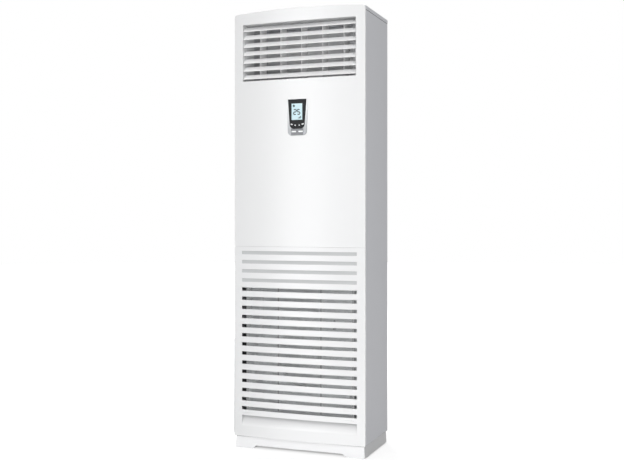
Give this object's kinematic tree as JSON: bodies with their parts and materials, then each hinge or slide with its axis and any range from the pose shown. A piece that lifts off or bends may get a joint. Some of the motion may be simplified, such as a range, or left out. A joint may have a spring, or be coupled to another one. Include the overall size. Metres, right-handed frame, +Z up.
{
  "type": "split air conditioner",
  "caption": "Tall white floor-standing indoor air conditioner: louvered outlet and display above, slotted intake grille and removable filter below, on a low plinth.",
  "frame": {"origin": "on the floor, at mid-width and mid-depth of the cabinet", "axes": "+Z up, the front with the outlet and the display faces -Y, +X is the right side seen from the front"},
  "size_m": [0.5079, 0.2903, 1.588],
  "materials": {
    "front_plastic": "satin white",
    "panel_steel": "powder coated white",
    "plinth_plastic": "fine matt",
    "grey_plastic": "matt light grey",
    "duct_plastic": "matt grey",
    "net": "fine nylon net",
    "silver_plastic": "satin silver",
    "window_black": "piano black",
    "lcd": "lit screen",
    "button_white": "satin",
    "galvanised": "galvanised sheet",
    "aluminium": "bare fins",
    "pipe_sleeve": "closed-cell foam sleeve over copper",
    "copper": "drawn copper tube",
    "black_plastic": "moulded",
    "board": "solder mask",
    "foam": "cut foam",
    "hose": "soft plastic hose"
  },
  "bodies": {
    "cabinet": {"plinth": "plinth_plastic", "base_pan": "galvanised", "side_panel_left": "panel_steel", "side_panel_right": "panel_steel", "rear_panel": "panel_steel", "top_cover": "front_plastic", "upper_front_panel": "front_plastic", "outlet_frame": "duct_plastic", "vane_motor": "galvanised", "display_bezel": "silver_plastic", "display_window": "window_black", "display_lcd": "lcd", "display_board": "board", "pipe_cover": "front_plastic", "pipe_cover_screw": "galvanised", "blower_deck": "galvanised", "blower_housing": "galvanised", "blower_front_plate": "galvanised", "fan_motor": "galvanised", "motor_bracket": "galvanised", "coil_core": "aluminium", "coil_end_plate_left": "copper", "coil_end_plate_right": "copper", "drain_pan": "black_plastic", "drain_hose": "hose", "gas_pipe": "pipe_sleeve", "liquid_pipe": "pipe_sleeve", "duct_front_wall": "galvanised", "duct_liner": "foam", "electric_box": "galvanised", "electric_box_cover": "galvanised", "control_board": "board", "cable_gland": "black_plastic", "wall_bracket": "galvanised", "room_sensor": "black_plastic"},
    "louver_1": {"louver_1": "front_plastic"},
    "louver_2": {"louver_2": "front_plastic"},
    "louver_3": {"louver_3": "front_plastic"},
    "louver_4": {"louver_4": "front_plastic"},
    "louver_5": {"louver_5": "front_plastic"},
    "louver_6": {"louver_6": "front_plastic"},
    "louver_7": {"louver_7": "front_plastic"},
    "vane_1": {"vane_1": "duct_plastic"},
    "vane_2": {"vane_2": "duct_plastic"},
    "vane_3": {"vane_3": "duct_plastic"},
    "vane_4": {"vane_4": "duct_plastic"},
    "vane_5": {"vane_5": "duct_plastic"},
    "window_button_1": {"window_button_1": "button_white"},
    "window_button_2": {"window_button_2": "button_white"},
    "window_button_3": {"window_button_3": "button_white"},
    "window_button_4": {"window_button_4": "button_white"},
    "bezel_button_1": {"bezel_button_1": "button_white"},
    "bezel_button_2": {"bezel_button_2": "button_white"},
    "louver_link": {"louver_link": "grey_plastic"},
    "vane_link": {"vane_link": "black_plastic"},
    "fan_wheel": {"fan_wheel": "galvanised"},
    "intake_grille": {"intake_grille": "front_plastic", "slot_blanking_plate": "grey_plastic"},
    "air_filter": {"filter_frame": "duct_plastic", "filter_net": "net"}
  },
  "joints": [
    {"name": "louver_4_tilt", "type": "hinge", "parent": "cabinet", "child": "louver_4", "pos_m": [0, -0.124, 1.43975], "axis": [1, 0, 0], "range_deg": [-50, 25]},
    {"name": "louver_1_tilt", "type": "hinge", "parent": "cabinet", "child": "louver_1", "pos_m": [0, -0.124, 1.5269], "axis": [1, 0, 0], "range_deg": [-50, 25]},
    {"name": "louver_2_tilt", "type": "hinge", "parent": "cabinet", "child": "louver_2", "pos_m": [0, -0.124, 1.49785], "axis": [1, 0, 0], "range_deg": [-50, 25]},
    {"name": "louver_3_tilt", "type": "hinge", "parent": "cabinet", "child": "louver_3", "pos_m": [0, -0.124, 1.4688], "axis": [1, 0, 0], "range_deg": [-50, 25]},
    {"name": "louver_5_tilt", "type": "hinge", "parent": "cabinet", "child": "louver_5", "pos_m": [0, -0.124, 1.4107], "axis": [1, 0, 0], "range_deg": [-50, 25]},
    {"name": "louver_6_tilt", "type": "hinge", "parent": "cabinet", "child": "louver_6", "pos_m": [0, -0.124, 1.38165], "axis": [1, 0, 0], "range_deg": [-50, 25]},
    {"name": "louver_7_tilt", "type": "hinge", "parent": "cabinet", "child": "louver_7", "pos_m": [0, -0.124, 1.3526], "axis": [1, 0, 0], "range_deg": [-50, 25]},
    {"name": "louver_link_pivot", "type": "hinge", "parent": "louver_4", "child": "louver_link", "pos_m": [0.203, -0.11634, 1.44618], "axis": [1, 0, 0], "range_deg": [-25, 50]},
    {"name": "vane_3_swing", "type": "hinge", "parent": "cabinet", "child": "vane_3", "pos_m": [0, -0.08, 1.4375], "axis": [0, 0, 1], "range_deg": [-40, 40]},
    {"name": "vane_1_swing", "type": "hinge", "parent": "cabinet", "child": "vane_1", "pos_m": [-0.162, -0.08, 1.4375], "axis": [0, 0, 1], "range_deg": [-40, 40]},
    {"name": "vane_2_swing", "type": "hinge", "parent": "cabinet", "child": "vane_2", "pos_m": [-0.081, -0.08, 1.4375], "axis": [0, 0, 1], "range_deg": [-40, 40]},
    {"name": "vane_4_swing", "type": "hinge", "parent": "cabinet", "child": "vane_4", "pos_m": [0.081, -0.08, 1.4375], "axis": [0, 0, 1], "range_deg": [-40, 40]},
    {"name": "vane_5_swing", "type": "hinge", "parent": "cabinet", "child": "vane_5", "pos_m": [0.162, -0.08, 1.4375], "axis": [0, 0, 1], "range_deg": [-40, 40]},
    {"name": "vane_link_pivot", "type": "hinge", "parent": "vane_3", "child": "vane_link", "pos_m": [0, -0.058, 1.3345], "axis": [0, 0, 1], "range_deg": [-40, 40]},
    {"name": "fan_spin", "type": "hinge", "parent": "cabinet", "child": "fan_wheel", "pos_m": [0, 0, 0.33], "axis": [0, 1, 0], "continuous": true},
    {"name": "grille_pull", "type": "slide", "parent": "cabinet", "child": "intake_grille", "axis": [0, -1, 0], "range_m": [0, 0.12]},
    {"name": "filter_lift", "type": "slide", "parent": "intake_grille", "child": "air_filter", "axis": [0, 0, 1], "range_m": [0, 0.46]},
    {"name": "window_button_1_press", "type": "slide", "parent": "cabinet", "child": "window_button_1", "axis": [0, 1, 0], "range_m": [0, 0.001], "stiffness_N_per_m": 300, "springref_m": -0.0005},
    {"name": "window_button_2_press", "type": "slide", "parent": "cabinet", "child": "window_button_2", "axis": [0, 1, 0], "range_m": [0, 0.001], "stiffness_N_per_m": 300, "springref_m": -0.0005},
    {"name": "window_button_3_press", "type": "slide", "parent": "cabinet", "child": "window_button_3", "axis": [0, 1, 0], "range_m": [0, 0.001], "stiffness_N_per_m": 300, "springref_m": -0.0005},
    {"name": "window_button_4_press", "type": "slide", "parent": "cabinet", "child": "window_button_4", "axis": [0, 1, 0], "range_m": [0, 0.001], "stiffness_N_per_m": 300, "springref_m": -0.0005},
    {"name": "bezel_button_1_press", "type": "slide", "parent": "cabinet", "child": "bezel_button_1", "axis": [0, 1, 0], "range_m": [0, 0.001], "stiffness_N_per_m": 300, "springref_m": -0.0005},
    {"name": "bezel_button_2_press", "type": "slide", "parent": "cabinet", "child": "bezel_button_2", "axis": [0, 1, 0], "range_m": [0, 0.001], "stiffness_N_per_m": 300, "springref_m": -0.0005}
  ],
  "couplings": [
    {"joint": "louver_1_tilt", "follows": "louver_4_tilt", "ratio": 1},
    {"joint": "louver_2_tilt", "follows": "louver_4_tilt", "ratio": 1},
    {"joint": "louver_3_tilt", "follows": "louver_4_tilt", "ratio": 1},
    {"joint": "louver_5_tilt", "follows": "louver_4_tilt", "ratio": 1},
    {"joint": "louver_6_tilt", "follows": "louver_4_tilt", "ratio": 1},
    {"joint": "louver_7_tilt", "follows": "louver_4_tilt", "ratio": 1},
    {"joint": "louver_link_pivot", "follows": "louver_4_tilt", "ratio": -1},
    {"joint": "vane_1_swing", "follows": "vane_3_swing", "ratio": 1},
    {"joint": "vane_2_swing", "follows": "vane_3_swing", "ratio": 1},
    {"joint": "vane_4_swing", "follows": "vane_3_swing", "ratio": 1},
    {"joint": "vane_5_swing", "follows": "vane_3_swing", "ratio": 1},
    {"joint": "vane_link_pivot", "follows": "vane_3_swing", "ratio": -1}
  ]
}
